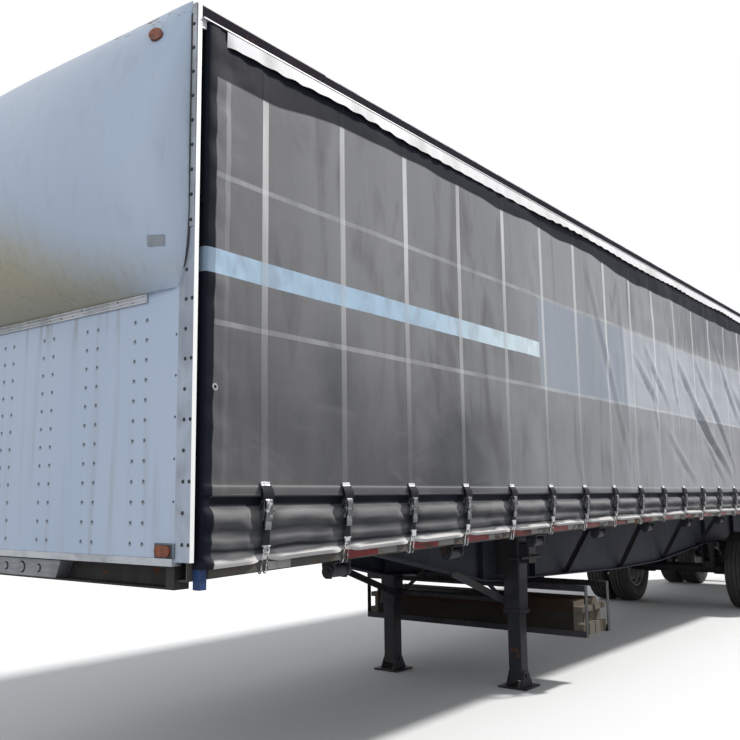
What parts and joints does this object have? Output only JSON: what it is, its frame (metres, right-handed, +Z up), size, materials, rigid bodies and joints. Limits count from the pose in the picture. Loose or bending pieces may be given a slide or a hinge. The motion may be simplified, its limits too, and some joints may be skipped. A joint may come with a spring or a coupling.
{
  "type": "curtain-side semi trailer",
  "caption": "Long cambered flatbed semi trailer with a curtain-side body, bulged white nose, spread axles and landing legs, parked on its own.",
  "frame": {"origin": "on the ground at the centre of the trailer's overall length and width", "axes": "+X forward towards the kingpin end, +Y to the trailer's left side, +Z up"},
  "size_m": [15.0969, 2.6716, 3.866],
  "materials": {
    "frame_blue": "worn satin",
    "rail_rusty": "rusty worn",
    "white_panel": "semi-gloss",
    "nose_white": "gloss, stained",
    "bare_aluminium": "weathered",
    "floor_wood": "weathered",
    "curtain_fabric": "matte coated",
    "valance_fabric": "matte coated",
    "roof_skin": "satin",
    "buckle_steel": "dull",
    "running_gear": "dirty satin",
    "wheel_white": "dirty",
    "tyre_rubber": "matte",
    "timber": "rough sawn",
    "flap_rubber": "matte",
    "amber_lens": "gloss",
    "red_lens": "gloss",
    "kingpin_steel": "greasy"
  },
  "bodies": {
    "chassis": {"air_tanks": "running_gear", "axles": "running_gear", "beam_braces": "frame_blue", "buckles_left": "buckle_steel", "buckles_right": "buckle_steel", "connector_box": "bare_aluminium", "corner_posts": "bare_aluminium", "coupler_plate": "running_gear", "cross_members": "frame_blue", "curtain_left": "curtain_fabric", "curtain_poles": "frame_blue", "curtain_right": "curtain_fabric", "curtain_tracks": "bare_aluminium", "deck_floor": "floor_wood", "dock_bumpers": "flap_rubber", "door_pins": "buckle_steel", "dunnage": "timber", "dunnage_rack": "frame_blue", "flap_brackets": "running_gear", "front_bolster": "frame_blue", "front_trim": "bare_aluminium", "front_wall": "white_panel", "kingpin": "kingpin_steel", "landing_bracing": "running_gear", "landing_leg_left": "running_gear", "landing_leg_right": "running_gear", "main_beams": "frame_blue", "marker_lamps": "amber_lens", "mud_flaps": "flap_rubber", "nose_cone": "nose_white", "outriggers": "frame_blue", "rear_frame": "frame_blue", "rear_guard": "frame_blue", "roof_bows": "bare_aluminium", "roof_sheet": "roof_skin", "side_posts": "bare_aluminium", "side_rail_left": "rail_rusty", "side_rail_right": "rail_rusty", "suspension": "running_gear", "tail_lamps": "red_lens", "top_rails": "frame_blue", "valances": "valance_fabric", "winches": "running_gear"},
    "left_door": {"door_left": "white_panel", "door_gear_left": "buckle_steel"},
    "right_door": {"door_right": "white_panel", "door_gear_right": "buckle_steel"},
    "wheel_front_left": {"tyres_front_left": "tyre_rubber", "hub_front_left": "wheel_white"},
    "wheel_front_right": {"tyres_front_right": "tyre_rubber", "hub_front_right": "wheel_white"},
    "wheel_rear_left": {"tyres_rear_left": "tyre_rubber", "hub_rear_left": "wheel_white"},
    "wheel_rear_right": {"tyres_rear_right": "tyre_rubber", "hub_rear_right": "wheel_white"}
  },
  "joints": [
    {"name": "left_door_hinge", "type": "hinge", "parent": "chassis", "child": "left_door", "pos_m": [-7.534, 1.2855, 2.5], "axis": [0, 0, -1], "range_deg": [0, 250]},
    {"name": "right_door_hinge", "type": "hinge", "parent": "chassis", "child": "right_door", "pos_m": [-7.534, -1.2855, 2.5], "axis": [0, 0, 1], "range_deg": [0, 250]},
    {"name": "wheel_front_left_spin", "type": "hinge", "parent": "chassis", "child": "wheel_front_left", "pos_m": [-3.352, 0.9735, 0.512], "axis": [0, 1, 0], "continuous": true},
    {"name": "wheel_front_right_spin", "type": "hinge", "parent": "chassis", "child": "wheel_front_right", "pos_m": [-3.352, -0.9735, 0.512], "axis": [0, 1, 0], "continuous": true},
    {"name": "wheel_rear_left_spin", "type": "hinge", "parent": "chassis", "child": "wheel_rear_left", "pos_m": [-6.425, 0.9735, 0.512], "axis": [0, 1, 0], "continuous": true},
    {"name": "wheel_rear_right_spin", "type": "hinge", "parent": "chassis", "child": "wheel_rear_right", "pos_m": [-6.425, -0.9735, 0.512], "axis": [0, 1, 0], "continuous": true}
  ]
}
